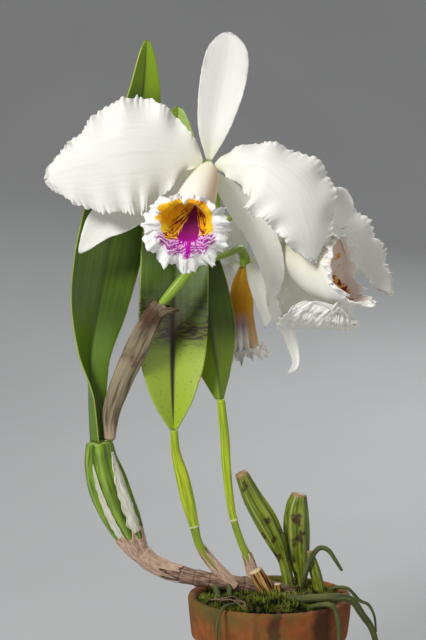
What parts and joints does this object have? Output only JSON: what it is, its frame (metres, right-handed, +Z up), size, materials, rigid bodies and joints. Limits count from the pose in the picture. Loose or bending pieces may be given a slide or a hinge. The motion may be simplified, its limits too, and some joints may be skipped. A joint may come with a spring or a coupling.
{
  "type": "potted cattleya orchid",
  "caption": "Flowering cattleya orchid in a plain clay pot: white blooms with frilled, coloured lips on an arching green stalk, leathery leaves, thin pseudobulbs, old backbulbs and roots.",
  "frame": {"origin": "centre of the pot's flat foot, on the surface it stands on", "axes": "+Z up, +X to the right and +Y away from the eye as in the picture"},
  "size_m": [0.2018, 0.1459, 0.4143],
  "materials": {
    "clay": "matte",
    "potting_mix": "matte",
    "creeping_stem": "matte",
    "lead_bulb": "satin",
    "cane": "satin",
    "backbulb": "satin",
    "old_stub": "matte",
    "papery_sheath": "matte",
    "leaf": "satin",
    "flower_sheath": "matte",
    "flower_stalk": "satin",
    "petal": "matte",
    "lip": "matte",
    "column": "satin",
    "root": "matte"
  },
  "bodies": {
    "root": {"pot": "clay", "potting_mix": "potting_mix", "rhizome": "creeping_stem", "pseudobulb_lead": "lead_bulb", "pseudobulb_second": "cane", "pseudobulb_third": "cane", "backbulb_leaning": "backbulb", "backbulb_broad": "backbulb", "backbulb_small": "backbulb", "old_stem_stub": "old_stub", "old_stem_stub_small": "old_stub", "paper_sheath_lead": "papery_sheath", "paper_strip_a": "papery_sheath", "paper_strip_b": "papery_sheath", "paper_strip_c": "papery_sheath", "paper_sheath_second": "papery_sheath", "paper_sheath_third": "papery_sheath", "leaf_lead": "leaf", "leaf_second": "leaf", "leaf_third": "leaf", "flower_sheath": "flower_sheath", "flower_stalk": "flower_stalk", "bloom_front_sepal_dorsal": "petal", "bloom_front_petal_left": "petal", "bloom_front_petal_right": "petal", "bloom_front_sepal_left": "petal", "bloom_front_sepal_right": "petal", "bloom_front_lip": "lip", "bloom_front_column": "column", "bloom_right_sepal_dorsal": "petal", "bloom_right_petal_far": "petal", "bloom_right_petal_near": "petal", "bloom_right_sepal_near": "petal", "bloom_right_sepal_far": "petal", "bloom_right_lip": "lip", "bloom_right_column": "column", "bloom_back_sepal_dorsal": "petal", "bloom_back_petal_right": "petal", "bloom_back_petal_left": "petal", "bloom_back_sepal_left": "petal", "bloom_back_sepal_right": "petal", "bloom_back_lip": "lip", "bloom_back_column": "column", "root_over_rim": "root", "root_arched": "root", "root_thin_right": "root", "root_hanging": "root", "root_thin_left": "root", "root_tip": "root", "root_green": "root"}
  },
  "joints": []
}
